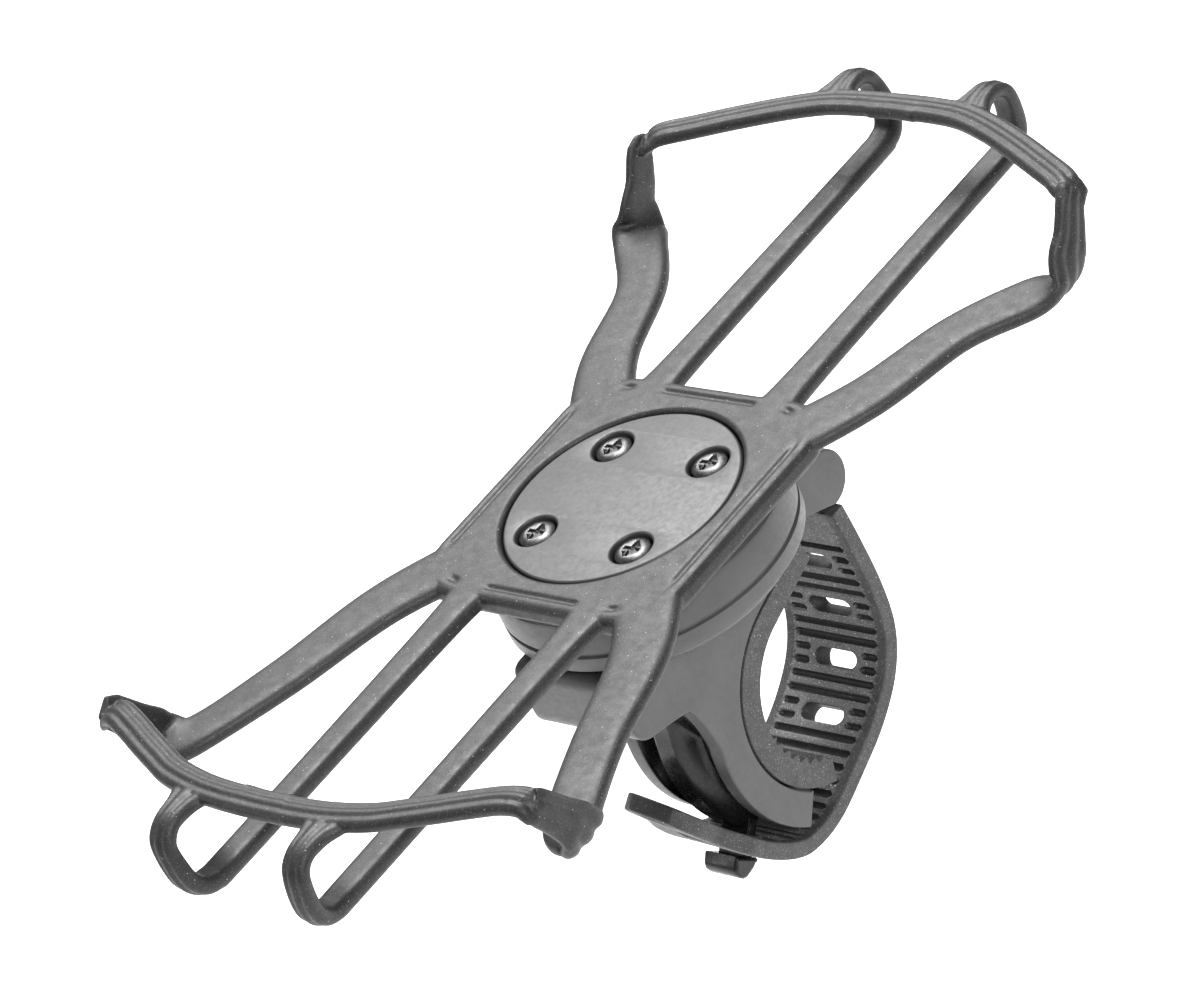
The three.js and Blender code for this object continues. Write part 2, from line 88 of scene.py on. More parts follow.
# ---------------------------------------------------------------- mesh helpers
def catmull_rom(points, steps=12):
    """A smooth line through rows of numbers, any number of columns."""
    p = np.array(points, float)
    p = np.vstack([2 * p[0] - p[1], p, 2 * p[-1] - p[-2]])
    t = np.linspace(0, 1, steps, endpoint=False)[:, None]
    runs = []
    for a, b, c, d in zip(p, p[1:], p[2:], p[3:]):
        runs.append(0.5 * (2 * b + (c - a) * t + (2 * a - 5 * b + 4 * c - d) * t**2
                           + (3 * b - a - 3 * c + d) * t**3))
    return np.vstack([*runs, p[-2]])


def lengths_along(points):
    """How far each point is along the line."""
    return np.r_[0, np.cumsum(np.linalg.norm(np.diff(points, axis=0), axis=1))]


def evenly(line, step, columns=3):
    """The same line with its rows a step apart, measured on its first columns."""
    at = lengths_along(line[:, :columns])
    wanted = np.linspace(0, at[-1], max(2, round(at[-1] / step) + 1))
    return np.column_stack([np.interp(wanted, at, column) for column in line.T])


def unit(v):
    return v / np.linalg.norm(v, axis=-1, keepdims=True)


def eased(x, low, high):
    """0 below low, 1 above high, and smooth between."""
    t = np.clip((x - low) / (high - low), 0, 1)
    return t * t * (3 - 2 * t)


def arc(centre, radius, start, stop, count):
    """Points (y, z) on an arc between two angles in degrees."""
    a = np.radians(np.linspace(start, stop, count))
    return np.column_stack([centre[0] + radius * np.cos(a), centre[1] + radius * np.sin(a)])


def loft(rings):
    """Vertices and faces of a closed skin over rings with the same number of points."""
    count = len(rings[0])
    faces = []
    for k in range(len(rings) - 1):
        for i in range(count):
            j = (i + 1) % count
            faces.append((k * count + i, k * count + j, (k + 1) * count + j, (k + 1) * count + i))
    last = (len(rings) - 1) * count
    faces.append(tuple(reversed(range(count))))
    faces.append(tuple(range(last, last + count)))
    return np.vstack(rings), faces


def lathe(profile):
    """A profile of (radius, z) turned about the cradle's swivel axis."""
    a = np.linspace(0, 2 * math.pi, LATHE_SEGMENTS, endpoint=False)
    rings = []
    for radius, z in profile:
        rings.append(np.column_stack([radius * np.cos(a), SWIVEL_Y + radius * np.sin(a),
                                      np.full(LATHE_SEGMENTS, z)]))
    return loft(rings)


def joined(parts):
    """Several (vertices, faces) as one."""
    verts, faces, start = [], [], 0
    for v, f in parts:
        verts.append(v)
        faces += [tuple(start + i for i in face) for face in f]
        start += len(v)
    return np.vstack(verts), faces


def mesh_points(mesh):
    points = np.zeros(len(mesh.vertices) * 3)
    mesh.vertices.foreach_get("co", points)
    return points.reshape(-1, 3)


def raw_object(name, verts, faces, scale=MM):
    """A plain object, its doubled vertices merged and its faces turned outwards."""
    mesh = bpy.data.meshes.new(name)
    mesh.from_pydata((np.asarray(verts) * scale).tolist(), [], faces)
    bm = bmesh.new()
    bm.from_mesh(mesh)
    bmesh.ops.remove_doubles(bm, verts=bm.verts, dist=MERGED * scale)
    bmesh.ops.recalc_face_normals(bm, faces=bm.faces)
    bm.to_mesh(mesh)
    bm.free()
    obj = bpy.data.objects.new(name, mesh)
    bpy.context.scene.collection.objects.link(obj)
    return obj


def baked(obj):
    """The object's vertices and faces with its modifiers applied. The object is removed."""
    bpy.context.view_layer.update()
    evaluated = obj.evaluated_get(bpy.context.evaluated_depsgraph_get())
    mesh = bpy.data.meshes.new_from_object(evaluated)
    faces = [tuple(p.vertices) for p in mesh.polygons]
    bpy.data.objects.remove(obj)
    return mesh_points(mesh), faces


def fused(parts, voxel, smoothing):
    """Overlapping closed parts as one skin, its inner corners filled: (vertices, faces)."""
    obj = raw_object("fusing", *joined(parts), scale=1)
    remesh = obj.modifiers.new("remesh", "REMESH")
    remesh.mode = "VOXEL"
    remesh.voxel_size = voxel * 1
    smooth = obj.modifiers.new("smooth", "SMOOTH")
    smooth.factor = 0.5
    smooth.iterations = smoothing
    return baked(obj)


def piece(name, shape, body, material, sharp, replaces=()):
    """A visible piece on a CAD body, smooth but for edges sharper than so many degrees."""
    obj = raw_object(name, *shape)
    obj.data.materials.append(material)
    obj.data.shade_smooth()
    obj.data.set_sharp_from_angle(angle=math.radians(sharp))
    for face in obj.data.polygons:
        if len(face.vertices) > 4:  # a flat cap
            face.use_smooth = False
    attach(obj, body)
    if replaces:
        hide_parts(*replaces)
    return obj


def thinned(obj, ratio):
    """Keeps this share of the faces, with fewer where the surface is even."""
    thin = obj.modifiers.new("thin", "DECIMATE")
    thin.ratio = ratio


# ------------------------------------------------------------------- materials
class Surface:
    """A procedural material: mottled colour, uneven gloss and a fine moulded grain."""

    def __init__(self, name, roughness, metallic=0.0, specular=0.5):
        self.material = bpy.data.materials.new(name)
        self.material.use_nodes = True
        self.tree = self.material.node_tree
        self.bsdf = self.tree.nodes["Principled BSDF"]
        self.bsdf.inputs["Roughness"].default_value = roughness
        self.bsdf.inputs["Metallic"].default_value = metallic
        self.bsdf.inputs["Specular IOR Level"].default_value = specular
        self.place = self.node("ShaderNodeTexCoord").outputs["Object"]
        self.height = None

    def node(self, kind, **values):
        """A new node with values for its inputs, an underscore for a space in a name."""
        made = self.tree.nodes.new(kind)
        for key, value in values.items():
            made.inputs[key.replace("_", " ")].default_value = value
        return made

    def link(self, a, b):
        self.tree.links.new(a, b)

    def noise(self, size, detail=3.0, stretch=None):
        """Noise whose features are about size millimetres across."""
        made = self.node("ShaderNodeTexNoise", Scale=1 / (size * MM), Detail=detail,
                         Roughness=0.5)
        place = self.place
        if stretch:
            mapping = self.node("ShaderNodeMapping", Scale=stretch)
            self.link(place, mapping.inputs["Vector"])
            place = mapping.outputs["Vector"]
        self.link(place, made.inputs["Vector"])
        return made.outputs["Fac"]

    def ramp(self, value, stops):
        """Colours by value, from stops of (value, colour)."""
        made = self.node("ShaderNodeValToRGB")
        elements = made.color_ramp.elements
        while len(elements) < len(stops):
            elements.new(0.5)
        for element, (at, colour) in zip(elements, stops):
            element.position = at
            element.color = (*colour, 1)
        self.link(value, made.inputs["Fac"])
        return made.outputs["Color"]

    def gloss(self, value, low, high):
        """Roughness that goes from low to high with a noise."""
        made = self.node("ShaderNodeMapRange", From_Min=0.3, From_Max=0.7, To_Min=low,
                         To_Max=high)
        self.link(value, made.inputs["Value"])
        self.link(made.outputs["Result"], self.bsdf.inputs["Roughness"])

    def mottle(self, dark, light, size):
        """A base colour that drifts between two shades."""
        colour = self.ramp(self.noise(size), [(0.35, dark), (0.65, light)])
        self.link(colour, self.bsdf.inputs["Base Color"])
        return colour

    def tinted(self, colour, tint, mask):
        """The base colour with a tint where the mask is white."""
        mix = self.node("ShaderNodeMix")
        mix.data_type = "RGBA"
        self.link(mask, mix.inputs["Factor"])
        self.link(colour, mix.inputs["A"])
        mix.inputs["B"].default_value = (*tint, 1)
        self.link(mix.outputs["Result"], self.bsdf.inputs["Base Color"])
        return mix.outputs["Result"]

    def specks(self, colour, tint, size, share):
        """Scattered soft light patches in the colour."""
        mask = self.ramp(self.noise(size, detail=1),
                         [(1 - share, (0, 0, 0)), (1 - share / 2, (1, 1, 1))])
        return self.tinted(colour, tint, mask)

    def dots(self, colour, tint, spacing, radius):
        """Small light grains, about one for each cube of the spacing."""
        made = self.node("ShaderNodeTexVoronoi", Scale=1 / (spacing * MM))
        self.link(self.place, made.inputs["Vector"])
        edge = radius / spacing
        mask = self.ramp(made.outputs["Distance"], [(0.6 * edge, (1, 1, 1)), (edge, (0, 0, 0))])
        return self.tinted(colour, tint, mask)

    def bump(self, value, depth):
        """Adds relief, depth millimetres deep, on top of what there is."""
        made = self.node("ShaderNodeBump", Strength=1.0, Distance=depth * MM)
        self.link(value, made.inputs["Height"])
        if self.height:
            self.link(self.height, made.inputs["Normal"])
        self.height = made.outputs["Normal"]
        self.link(self.height, self.bsdf.inputs["Normal"])


def grey(value):
    return (value, value, value)


def silicone_surface():
    s = Surface("silicone_satin", 0.5, specular=0.35)
    colour = s.mottle(grey(0.011), grey(0.015), 3)
    colour = s.specks(colour, grey(0.09), 0.16, 0.4)
    s.dots(colour, grey(0.3), 1.1, 0.08)
    s.gloss(s.noise(1.2), 0.46, 0.58)
    s.bump(s.noise(0.25, detail=4), 0.02)
    s.bump(s.noise(5), 0.03)
    return s.material


def rubber_surface(name, shade):
    """The strap's and liner's rubber, shade times as light as its moulded skin; a shade above or below 1 is
    painted light or painted shade.
    """
    s = Surface(name, 0.6, specular=0.4)
    colour = s.mottle(grey(0.036 * shade), grey(0.048 * shade), 2.5)
    colour = s.specks(colour, grey(0.19 * shade), 0.18, 0.4)
    s.dots(colour, grey(0.45 * shade), 1.1, 0.08)
    s.gloss(s.noise(0.8), 0.52, 0.7)
    s.bump(s.noise(0.25, detail=5), 0.05)
    return s.material


def nylon_surface(name, dark, light, rough, specular=0.5):
    s = Surface(name, rough, specular=specular)
    s.mottle(grey(dark), grey(light), 5)
    s.gloss(s.noise(0.6), rough - 0.05, rough + 0.08)
    s.bump(s.noise(0.2, detail=4), 0.03 * rough)
    return s.material


def metal_surface(name, dark, light, rough):
    s = Surface(name, rough, metallic=1.0)
    colour = s.ramp(s.noise(0.8, detail=4), [(0.3, dark), (0.7, light)])
    s.link(colour, s.bsdf.inputs["Base Color"])
    s.gloss(s.noise(0.35, stretch=(1, 1, 9)), rough - 0.08, rough + 0.12)
    s.bump(s.noise(0.2, stretch=(1, 1, 12)), 0.004)
    return s.material


def acetal_surface():
    s = Surface("acetal_natural", 0.38, specular=0.5)
    s.mottle((0.62, 0.6, 0.55), (0.7, 0.68, 0.63), 4)
    s.gloss(s.noise(0.7), 0.32, 0.44)
    s.bump(s.noise(0.25), 0.008)
    return s.material


SILICONE = silicone_surface()
RUBBER = rubber_surface("rubber_matt", 1.0)
RUBBER_PAINTED_LIT = rubber_surface("rubber_painted_lit", 2.2)  # the strap's inner face: painted light, 2.2 times as light
RUBBER_PAINTED_SHADE = rubber_surface("rubber_painted_shade", 0.35)  # its grooves and its slots' walls: painted shade, 0.35 times as light
NYLON = nylon_surface("nylon_satin", 0.044, 0.054, 0.45)
NYLON_PLATE = nylon_surface("nylon_plate", 0.022, 0.028, 0.48)  # the clamp plate's
NYLON_GLOSS_PAINTED_DARK = nylon_surface("nylon_gloss_painted_dark", 0.004, 0.006, 0.28, specular=0.3)  # channel and hook: glossier, with painted shade making them far darker than nylon_satin
STEEL = metal_surface("steel_brushed", (0.5, 0.51, 0.53), (0.68, 0.69, 0.7), 0.3)
STEEL_DARK = metal_surface("steel_black", grey(0.05), grey(0.09), 0.35)
BRASS = metal_surface("brass_turned", (0.5, 0.36, 0.16), (0.66, 0.48, 0.22), 0.32)
ACETAL = acetal_surface()


# ------------------------------------------------------------------ the cradle
CLEAR = 0.2  # between the web and the phone
BAND = 4.2  # a band's width on the phone's face
THICK = 2.15  # a band's thickness on the phone's face and sides
BACK_THICK = 2.7
CORNER_THICK = {1: THICK, -1: 1.5}  # where a loop is stretched over a long edge, by side
SECTION_POINTS = 41
SECTION_GROOVE = 0.27  # depth of a band's two grooves, for a half thickness of 1
SECTION_GROOVE_AT = 0.36
SECTION_GROOVE_SPREAD = 0.17
SWEEP_STEP = 0.4
TIE_X = 11.5
TIE_LEAN = 1.2  # how much nearer the middle the ties are behind the phone
PAD_LOW, PAD_HIGH = 33.4, 36.6
PAD_HALF = 21.0
PAD_CORNER = 8.0
PAD_MIDDLE = 2.0  # radius of the flat caps that close the pad's skin
POCKET_RADIUS = 16.3
POCKET_FLOOR = 34.3
WEB_VOXEL = 0.2
WEB_SMOOTHING = 4
WEB_FACES_KEPT = 0.4
PHONE_EDGE = PHONE_HIGH[0] + CLEAR + THICK / 2
PHONE_END = (PHONE_HIGH[1] - PHONE_LOW[1]) / 2 + CLEAR + THICK / 2
FACE = PHONE_HIGH[2] + CLEAR + THICK / 2
BACK = PHONE_LOW[2] - CLEAR - BACK_THICK / 2


def band_section():
    """Outline of a band, (across, outward), each from -1 to 1, the outer face up."""
    u = np.cos(np.linspace(0, math.pi, SECTION_POINTS))
    top = (1 - np.abs(u) ** 2.6) ** 0.5
    for centre in (-SECTION_GROOVE_AT, SECTION_GROOVE_AT):
        top -= SECTION_GROOVE * np.exp(-(((u - centre) / SECTION_GROOVE_SPREAD) ** 2))
    bottom = -((1 - np.abs(u) ** 5) ** 0.4)
    return np.vstack([np.column_stack([u, top]), np.column_stack([u, bottom])[-2:0:-1]])


def sweep(stations):
    """A band through stations of (x, y, z, outward x, y, z, width, thickness)."""
    line = evenly(catmull_rom(stations), SWEEP_STEP)
    centre, outward = line[:, :3], line[:, 3:6]
    along = unit(np.gradient(centre, axis=0))
    side = unit(np.cross(along, outward))
    outward = np.cross(side, along)
    section = band_section()
    rings = []
    for c, s, o, (width, thick) in zip(centre, side, outward, line[:, 6:8]):
        rings.append(c + section[:, :1] * s * width / 2 + section[:, 1:] * o * thick / 2)
    return loft(rings)


def web_station(end, side, x, y, z, outward, width, thick=THICK):
    """A station given from the phone's centre for the upper right quarter."""
    ox, oy, oz = outward
    return (side * x, SWIVEL_Y + end * y, z, side * ox, end * oy, oz, width, thick)


OUT_FRONT, OUT_SIDE, OUT_END, OUT_BACK = (0, 0, 1), (1, 0, 0), (0, 1, 0), (0, 0, -1)

# The loops, by end: 1 is at the phone's top, and -1 is at its bottom.
# From a loop's middle to the phone's long edge: (x, distance from the centre).
LOOP_FRONT = {
    1: [(0, 67.3), (6, 67.2), (11.6, 66.6), (17.5, 64.7), (24, 61.9), (30, 59.0), (34, 57.0)],
    -1: [(0, 66.8), (6, 66.7), (11.4, 66.2), (17, 65), (21, 63.4), (25, 61.7), (29, 59.9),
         (33, 58.3)],
}
# Where it goes down the side: (distance from the centre, height above the back, width).
LOOP_SIDE = {
    1: [(54.6, 7.4, 4.6), (52.4, 3.9, 5.4), (50.6, 1.8, 6.6)],
    -1: [(57.2, 7.4, 4.6), (54.8, 3.4, 5.2), (53.6, 1.0, 6.4)],
}
# Where it turns onto the phone's back: (x, shifts from the last of those, outward, width).
ARM_START = {
    1: [(36.4, -1.8, 0.5, (0.7, 0, -0.7), 7.4), (33.6, -5.0, 0, OUT_BACK, 7.6)],
    -1: [(36.0, -0.8, 0.5, (0.7, 0, -0.7), 7.2), (32.6, -2.6, 0, OUT_BACK, 7.2)],
}


def loop_half(end, side):
    """Half a loop: from the middle of the phone's face to the pad's corner."""
    def at(x, y, z, outward, width, thick=THICK):
        return web_station(end, side, x, y, z, outward, width, thick)

    stations = [at(-4, LOOP_FRONT[end][0][1] - 0.2, FACE, OUT_FRONT, BAND)]
    stations += [at(x, y, FACE, OUT_FRONT, BAND) for x, y in LOOP_FRONT[end]]
    middle = 0.5 * (LOOP_FRONT[end][-1][1] + LOOP_SIDE[end][0][0])
    thin = CORNER_THICK[side]
    # A thinner corner also touches the phone, where the rest of the web is clear of it.
    drop = (THICK - thin) / 2 + (CLEAR if thin < THICK else 0)
    edge = PHONE_EDGE - drop
    stations.append(at(edge - 1.2, middle, FACE - 0.15 - drop, (0.25, 0, 0.95), BAND + 0.1, thin))
    stations.append(at(edge - 0.2, middle - 0.2, FACE - 1.1 - drop, (0.8, 0, 0.5), BAND + 0.3,
                       thin))
    for y, height, width in LOOP_SIDE[end]:
        stations.append(at(edge, y, PHONE_LOW[2] + height, OUT_SIDE, width, thin))
    y = LOOP_SIDE[end][-1][0]
    stations += [at(px, y + dy, BACK + dz, outward, width, BACK_THICK)
                 for px, dy, dz, outward, width in ARM_START[end]]
    stations += [
        at(27, 0.5 * (y + 24), BACK, OUT_BACK, 7.4, BACK_THICK),
        at(22, 24, BACK, OUT_BACK, 8.4, BACK_THICK),
        at(14, 12, BACK, OUT_BACK, 9.5, BACK_THICK),
    ]
    return sweep(stations)


def tie(end, side):
    """From the loop's front, round the phone's short end and back to the pad."""
    start = LOOP_FRONT[end][2][1]
    x = TIE_X

    def at(x, y, z, outward, width, thick=THICK):
        return web_station(end, side, x, y, z, outward, width, thick)

    return sweep([
        at(x, start - 1.2, FACE - 0.3, OUT_FRONT, 9.0, THICK - 0.6),
        at(x, start + 1.3, FACE - 0.12, OUT_FRONT, 6.8, THICK - 0.2),
        at(x, start + 3.4, FACE, OUT_FRONT, 4.7),
        at(x, PHONE_END - 2.4, FACE - 0.15, (0, 0.3, 0.95), 3.9),
        at(x, PHONE_END - 0.8, FACE - 1.1, (0, 0.75, 0.65), 3.9),
        at(x, PHONE_END - 0.05, FACE - 2.6, OUT_END, 3.9),
        at(x - 0.4, PHONE_END + 0.2, 40.0, OUT_END, 3.9, 2.4),
        at(x - 0.7, PHONE_END - 0.1, BACK + 2.4, (0, 0.95, -0.3), 4.0, 2.5),
        at(x - 1.0, PHONE_END - 1.3, BACK + 0.75, (0, 0.7, -0.7), 4.1, 2.6),
        at(x - 1.1, PHONE_END - 3.2, BACK + 0.1, (0, 0.25, -0.97), 4.2, BACK_THICK),
        at(x - TIE_LEAN, PHONE_END - 6, BACK, OUT_BACK, 4.3, BACK_THICK),
        at(x - TIE_LEAN, 45, BACK, OUT_BACK, 4.6, BACK_THICK),
        at(x - TIE_LEAN, 24, BACK, OUT_BACK, 5.4, BACK_THICK),
        at(x - TIE_LEAN, 16, BACK, OUT_BACK, 8, BACK_THICK),
    ])


def rounded_square(half, corner, count=160):
    """Evenly spaced points (x, y) round a square with rounded corners."""
    points = []
    inner = half - corner
    for k, (sx, sy) in enumerate([(1, 1), (-1, 1), (-1, -1), (1, -1)]):
        points.append(arc((sx * inner, sy * inner), corner, 90 * k, 90 * (k + 1), 24))
    loop = np.vstack([*points, points[0][:1]])
    return evenly(loop, lengths_along(loop)[-1] / count, columns=2)[:-1]


def pad():
    """The pad behind the phone, with the pocket of the clamp plate."""
    outline = rounded_square(PAD_HALF, PAD_CORNER)
    angles = np.arctan2(outline[:, 1], outline[:, 0])
    circle = np.column_stack([np.cos(angles), np.sin(angles)])

    def ring(points, z):
        return np.column_stack([points[:, 0], SWIVEL_Y + points[:, 1], np.full(len(points), z)])

    def inset(distance):
        return outline * (1 - distance / PAD_HALF)

    return loft([
        ring(circle * PAD_MIDDLE, PAD_LOW),
        ring(inset(1.0), PAD_LOW),
        ring(inset(0.3), PAD_LOW + 0.3),
        ring(inset(0), PAD_LOW + 1.0),
        ring(inset(0), PAD_HIGH - 0.9),
        ring(inset(0.3), PAD_HIGH - 0.25),
        ring(inset(0.9), PAD_HIGH),
        ring(inset(1.5), PAD_HIGH),
        ring(inset(1.8), PAD_HIGH - 0.35),
        ring(inset(2.2), PAD_HIGH - 0.35),
        ring(inset(2.5), PAD_HIGH),
        ring(circle * (POCKET_RADIUS + 0.4), PAD_HIGH),
        ring(circle * POCKET_RADIUS, PAD_HIGH - 0.4),
        ring(circle * POCKET_RADIUS, POCKET_FLOOR),
        ring(circle * PAD_MIDDLE, POCKET_FLOOR),
    ])


def silicone_cradle():
    """The whole web as one skin."""
    parts = [pad()]
    for end in (1, -1):
        for side in (1, -1):
            parts += [loop_half(end, side), tie(end, side)]
    return fused(parts, WEB_VOXEL, WEB_SMOOTHING)


web = piece("silicone_web", silicone_cradle(), "cradle", SILICONE, sharp=70,
            replaces=["silicone_cradle"])
thinned(web, WEB_FACES_KEPT)


# ------------------------------------------------------------------- the strap
# The middle of the strap's thickness, (y, z), from its eye, under the handlebar, to its tail.
STRAP_LINE = [
    (13.6, 15.8), (13.95, 9.5), (14, 2), (13, -4.2), (9.9, -9.1), (4.7, -12.9),
    (-1.3, -15.5), (-7.2, -17.6), (-11.9, -17.9), (-15.6, -16.6), (-20.4, -12.1),
    (-25, -5.4), (-28.2, 0),
]
STRAP_HALF_THICKNESS = 1.18
HOOK_POINT = (-18.5, -16.1)
SLOT_PITCH = 7.85
SLOT_LENGTH = 7.2
SLOT_WIDTH = 2.4
FIRST_SLOT = 5.0  # no slot is nearer to the strap's top than this
SLOT_MARGIN = 2.0  # or nearer to its tail's end
TAIL_TAPER = 12.0  # length over which the tail narrows
TAIL_RADIUS = 6.5
NECK_HALF_WIDTH = 4.9
EYE_RADIUS = 3.0
GROOVE_REACH = 7.1  # how far from the middle the grooves of the inner face go
GROOVE_INNER = 4.4  # where the short ones beside a slot start
GROOVE_WIDTH = 0.95
GROOVE_DEPTH = 0.7
SLOT_DRAFT = 0.9  # how much nearer each end of a slot is on the outer face
TAIL_TWIST = 6.0  # degrees
STRAP_VOXEL = 0.17
STRAP_SMOOTHING = 1
STRAP_FACES_KEPT = 0.5

strap_line = evenly(catmull_rom(STRAP_LINE, 40), 0.1, columns=2)
strap_at = lengths_along(strap_line)
strap_along = unit(np.gradient(strap_line, axis=0))
strap_outward = np.column_stack([-strap_along[:, 1], strap_along[:, 0]])


def slot_lengths():
    """Where the slots are along the strap."""
    hooked = strap_at[np.argmin(np.linalg.norm(strap_line - np.array(HOOK_POINT), axis=1))]
    found = np.arange(hooked % SLOT_PITCH, strap_at[-1] - SLOT_MARGIN, SLOT_PITCH)
    return found[found > FIRST_SLOT]


def stadium(centre, half_length, radius, count=10):
    """Outline across the strap, (x, length along it)."""
    inner = half_length - radius
    return np.vstack([arc((inner, centre), radius, -90, 90, count),
                      arc((-inner, centre), radius, 90, 270, count)])


def plate(outline, holes, low, high, edge):
    """A flat plate of (x, s) with through holes and rounded edges, n from low to high."""
    data = bpy.data.curves.new("plate", "CURVE")
    data.dimensions = "2D"
    data.fill_mode = "BOTH"
    data.extrude = (high - low) / 2 - edge
    data.bevel_depth = edge
    data.bevel_resolution = 3
    data.offset = -edge
    for points in [outline, *holes]:
        spline = data.splines.new("POLY")
        spline.points.add(len(points) - 1)
        for p, (x, s) in zip(spline.points, points):
            p.co = (x, s, 0, 1)
        spline.use_cyclic_u = True
    obj = bpy.data.objects.new("plate", data)
    bpy.context.scene.collection.objects.link(obj)
    points, faces = baked(obj)
    points[:, 2] += (low + high) / 2
    return points, faces


def tail_outline():
    """The strap's outline, straight to where its tail narrows to a rounded end."""
    total = strap_at[-1] - 0.6
    r = TAIL_RADIUS
    steps = np.linspace(0, 1, 12)[1:-1]
    right = [(HALF_WIDTH, 0), (HALF_WIDTH, total - TAIL_TAPER)]
    right += list(zip(HALF_WIDTH + (r - HALF_WIDTH) * eased(steps, 0, 1),
                      total - TAIL_TAPER + (TAIL_TAPER - r) * steps))
    a = np.radians(np.linspace(0, 90, 20))
    right += list(zip(r * np.cos(a) ** 0.62, total - r + r * np.sin(a) ** 0.62))
    left = [(-x, s) for x, s in reversed(right[:-1])]
    return right + left


def groove_depth(x, s, slots):
    """Depth of the cross grooves of the inner face: two whole ones between slots, and two
    short ones at each side of a slot."""
    depth = np.zeros(len(x))
    round_end = GROOVE_WIDTH / 2
    past = np.maximum(np.abs(x) - GROOVE_REACH + round_end, 0)
    short = np.maximum(past, GROOVE_INNER + round_end - np.abs(x))
    last = strap_at[-1] - TAIL_TAPER
    for slot in slots:
        for share in (-3 / 8, -1 / 8, 1 / 8, 3 / 8):
            at = slot + share * SLOT_PITCH
            if not 1 < at < last:
                continue
            t = np.hypot(s - at, short if abs(share) < 0.2 else past) / round_end
            shape = np.sqrt(1 - np.minimum(t, 1) ** 2) ** 0.8
            depth = np.maximum(depth, GROOVE_DEPTH * shape)
    return depth


def slot_draft(x, s, n, slots):
    """How far the walls at a slot's two ends move towards its middle."""
    end = SLOT_LENGTH / 2
    outer = np.clip((n + STRAP_HALF_THICKNESS) / (2 * STRAP_HALF_THICKNESS), 0, 1)
    near = np.minimum(np.abs(x) / end, 1 - eased(np.abs(x), end, end + 2.5))
    move = np.zeros(len(x))
    for slot in slots:
        move = np.maximum(move, 1 - eased(np.abs(s - slot), SLOT_WIDTH / 2, SLOT_WIDTH))
    return -np.sign(x) * SLOT_DRAFT * outer * near * move


def flat_strap():
    """The strap laid flat: x across, s along from its top, n out of its outer face."""
    slots = slot_lengths()
    half = STRAP_HALF_THICKNESS
    holes = [stadium(s, SLOT_LENGTH / 2, SLOT_WIDTH / 2) for s in slots]
    parts = [plate(tail_outline(), holes, -half, half, 0.25)]
    neck = PIN_Z - STRAP_LINE[0][1]  # from the strap's top up to the pin in its eye
    parts.append(plate([(-NECK_HALF_WIDTH, -neck), (NECK_HALF_WIDTH, -neck),
                        (NECK_HALF_WIDTH + 0.6, -1.2), (NECK_HALF_WIDTH + 2.4, 1.5),
                        (-NECK_HALF_WIDTH - 2.4, 1.5), (-NECK_HALF_WIDTH - 0.6, -1.2)], [],
                       -half, half, 0.3))
    eye = []
    for x, inset in ((-1, 0.5), (-0.97, 0.15), (-0.9, 0), (0.9, 0), (0.97, 0.15), (1, 0.5)):
        circle = arc((-neck, 0), EYE_RADIUS - inset, 0, 360, 41)[:-1]
        eye.append(np.column_stack([np.full(40, x * NECK_HALF_WIDTH), circle]))
    parts.append(loft(eye))
    verts, faces = fused(parts, STRAP_VOXEL, STRAP_SMOOTHING)
    x, s, n = verts.T
    inner = 1 - eased(n, -half + 0.1, -half + 0.5)
    draft = slot_draft(x, s, n, slots)  # before the grooves change n
    verts[:, 2] += groove_depth(x, s, slots) * inner * (s > 0)
    verts[:, 0] += draft
    return verts, faces


def paint_strap_light_and_shade(mesh):
    """Painted light and shade: the inner face is painted lighter, and its grooves and the slots' walls are painted
    darker as shade.
    """
    mesh.materials.append(RUBBER_PAINTED_LIT)
    mesh.materials.append(RUBBER_PAINTED_SHADE)
    for face in mesh.polygons:
        x, s, n = face.center / MM
        below = n + STRAP_HALF_THICKNESS
        reach = GROOVE_REACH if s < strap_at[-1] - TAIL_TAPER else SLOT_LENGTH / 2
        if s > 0 and abs(x) < reach + 0.1 and below < 2 * STRAP_HALF_THICKNESS - 0.3:
            # painted light on the inner face, painted shade in its grooves and the slots' walls
            face.material_index = 1 if below < 0.16 else 2


def bent(flat):
    """Points of the flat strap, moved to where the strap is on the clamp."""
    x, s, n = flat.T
    before = np.minimum(s, 0)
    twist = TAIL_TWIST * eased(s, strap_at[-1] - 20, strap_at[-1] - 6)
    n = n - np.maximum(TAIL_RADIUS - 1 - x, 0) * np.sin(np.radians(twist))
    clamped = np.clip(s, 0, strap_at[-1])
    centre = np.column_stack([np.interp(clamped, strap_at, c) for c in strap_line.T])
    along = np.column_stack([np.interp(clamped, strap_at, c) for c in strap_along.T])
    outward = np.column_stack([np.interp(clamped, strap_at, c) for c in strap_outward.T])
    up = unit(np.array([STRAP_LINE[0][0] - PIN_Y, STRAP_LINE[0][1] - PIN_Z]))
    centre = centre + before[:, None] * up + outward * n[:, None]
    centre += along * np.maximum(s - strap_at[-1], 0)[:, None]
    return np.column_stack([x, centre])


def bend(mesh):
    """Takes the flat strap's mesh to where it is on the clamp."""
    mesh.vertices.foreach_set("co", (bent(mesh_points(mesh) / MM) * MM).ravel())
    mesh.update()


strap = piece("strap_moulding", flat_strap(), "strap", RUBBER, sharp=60,
              replaces=["strap"])
paint_strap_light_and_shade(strap.data)
bend(strap.data)
thinned(strap, STRAP_FACES_KEPT)


